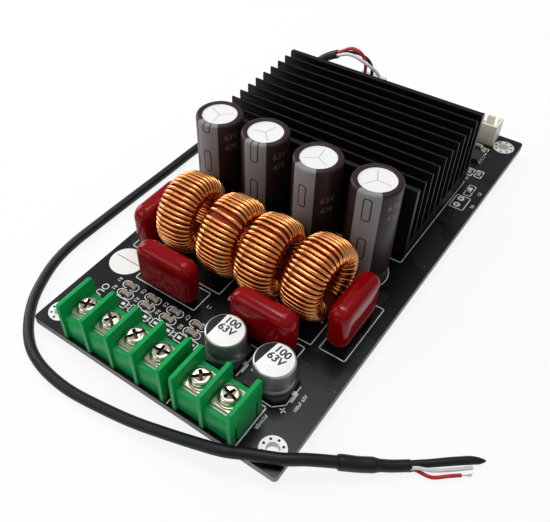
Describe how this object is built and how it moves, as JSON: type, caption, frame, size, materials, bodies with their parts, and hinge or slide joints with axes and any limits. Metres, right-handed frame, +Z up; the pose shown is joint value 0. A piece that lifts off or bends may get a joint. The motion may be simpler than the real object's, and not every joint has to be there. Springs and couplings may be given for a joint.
{
  "type": "audio amplifier board",
  "caption": "Bare black stereo amplifier board with finned heatsink, copper toroids, brown and red capacitors, green screw terminals and a stripped black lead",
  "frame": {"origin": "middle of the board in plan, on the surface that the trimmed leads stand on", "axes": "+X to the right along the terminal edge, +Y to the back of the board, +Z up"},
  "size_m": [0.12, 0.1485, 0.0345],
  "materials": {
    "board": "gloss black solder mask with white print",
    "heatsink_black": "black anodised extrusion",
    "screw_nickel": "nickel plated steel",
    "pad_grey": "soft grey thermal pad",
    "chip_black": "moulded black epoxy",
    "tinned": "tinned leads and solder",
    "sleeve_brown": "shrunk brown sleeve, bare aluminium top",
    "core_red": "red coated powder core",
    "copper_enamel": "clear enamelled copper wire",
    "film_red": "dark red dipped epoxy",
    "can_silver": "bright aluminium can",
    "base_black": "moulded base",
    "terminal_green": "green moulding",
    "ivory": "ivory nylon",
    "chip_brown": "ceramic",
    "jacket_black": "soft black lead jacket and sleeves",
    "wire_red": "red wire insulation",
    "wire_white": "white wire insulation"
  },
  "bodies": {
    "board": {"circuit_board": "board", "heatsink": "heatsink_black", "heatsink_screws": "screw_nickel", "thermal_pad": "pad_grey", "amplifier_chip": "chip_black", "regulator_chip": "chip_black", "chip_leads": "tinned", "bulk_capacitor_1": "sleeve_brown", "bulk_capacitor_2": "sleeve_brown", "bulk_capacitor_3": "sleeve_brown", "bulk_capacitor_4": "sleeve_brown", "bulk_leads": "tinned", "toroid_core_1": "core_red", "toroid_core_2": "core_red", "toroid_core_3": "core_red", "toroid_core_4": "core_red", "toroid_winding_1": "copper_enamel", "toroid_winding_2": "copper_enamel", "toroid_winding_3": "copper_enamel", "toroid_winding_4": "copper_enamel", "film_capacitor_1": "film_red", "film_capacitor_2": "film_red", "film_capacitor_3": "film_red", "film_capacitor_4": "film_red", "film_leads": "tinned", "smd_can_1": "can_silver", "smd_can_2": "can_silver", "smd_base_1": "base_black", "smd_base_2": "base_black", "smd_tabs": "tinned", "output_terminal": "terminal_green", "power_terminal": "terminal_green", "terminal_contacts": "tinned", "fan_header": "ivory", "input_header": "ivory", "header_pins": "tinned", "input_plug": "ivory", "chip_bodies": "chip_brown", "chip_ends": "tinned", "solder_joints": "tinned", "cable_jacket": "jacket_black", "red_wire": "wire_red", "white_wire": "wire_white", "black_wire": "jacket_black", "splice_sleeve": "jacket_black", "shield_lead": "jacket_black", "white_tail": "wire_white", "red_tail": "wire_red"},
    "clamp_1": {"clamp_washer_1": "screw_nickel"},
    "screw_1": {"terminal_screw_1": "screw_nickel"},
    "clamp_2": {"clamp_washer_2": "screw_nickel"},
    "screw_2": {"terminal_screw_2": "screw_nickel"},
    "clamp_3": {"clamp_washer_3": "screw_nickel"},
    "screw_3": {"terminal_screw_3": "screw_nickel"},
    "clamp_4": {"clamp_washer_4": "screw_nickel"},
    "screw_4": {"terminal_screw_4": "screw_nickel"},
    "clamp_5": {"clamp_washer_5": "screw_nickel"},
    "screw_5": {"terminal_screw_5": "screw_nickel"},
    "clamp_6": {"clamp_washer_6": "screw_nickel"},
    "screw_6": {"terminal_screw_6": "screw_nickel"}
  },
  "joints": [
    {"name": "clamp_lift_1", "type": "slide", "parent": "board", "child": "clamp_1", "axis": [0, 0, 1], "range_m": [0, 0.0025]},
    {"name": "screw_turn_1", "type": "hinge", "parent": "clamp_1", "child": "screw_1", "pos_m": [-0.02099, -0.06315, 0.0121], "axis": [0, 0, 1], "range_deg": [0, 1800]},
    {"name": "clamp_lift_2", "type": "slide", "parent": "board", "child": "clamp_2", "axis": [0, 0, 1], "range_m": [0, 0.0025]},
    {"name": "screw_turn_2", "type": "hinge", "parent": "clamp_2", "child": "screw_2", "pos_m": [-0.01337, -0.06315, 0.0121], "axis": [0, 0, 1], "range_deg": [0, 1800]},
    {"name": "clamp_lift_3", "type": "slide", "parent": "board", "child": "clamp_3", "axis": [0, 0, 1], "range_m": [0, 0.0025]},
    {"name": "screw_turn_3", "type": "hinge", "parent": "clamp_3", "child": "screw_3", "pos_m": [-0.00575, -0.06315, 0.0121], "axis": [0, 0, 1], "range_deg": [0, 1800]},
    {"name": "clamp_lift_4", "type": "slide", "parent": "board", "child": "clamp_4", "axis": [0, 0, 1], "range_m": [0, 0.0025]},
    {"name": "screw_turn_4", "type": "hinge", "parent": "clamp_4", "child": "screw_4", "pos_m": [0.00187, -0.06315, 0.0121], "axis": [0, 0, 1], "range_deg": [0, 1800]},
    {"name": "clamp_lift_5", "type": "slide", "parent": "board", "child": "clamp_5", "axis": [0, 0, 1], "range_m": [0, 0.0025]},
    {"name": "screw_turn_5", "type": "hinge", "parent": "clamp_5", "child": "screw_5", "pos_m": [0.01309, -0.06315, 0.0121], "axis": [0, 0, 1], "range_deg": [0, 1800]},
    {"name": "clamp_lift_6", "type": "slide", "parent": "board", "child": "clamp_6", "axis": [0, 0, 1], "range_m": [0, 0.0025]},
    {"name": "screw_turn_6", "type": "hinge", "parent": "clamp_6", "child": "screw_6", "pos_m": [0.02071, -0.06315, 0.0121], "axis": [0, 0, 1], "range_deg": [0, 1800]}
  ],
  "couplings": [
    {"joint": "screw_turn_1", "follows": "clamp_lift_1", "rad_per_m": 12566},
    {"joint": "screw_turn_2", "follows": "clamp_lift_2", "rad_per_m": 12566},
    {"joint": "screw_turn_3", "follows": "clamp_lift_3", "rad_per_m": 12566},
    {"joint": "screw_turn_4", "follows": "clamp_lift_4", "rad_per_m": 12566},
    {"joint": "screw_turn_5", "follows": "clamp_lift_5", "rad_per_m": 12566},
    {"joint": "screw_turn_6", "follows": "clamp_lift_6", "rad_per_m": 12566}
  ]
}
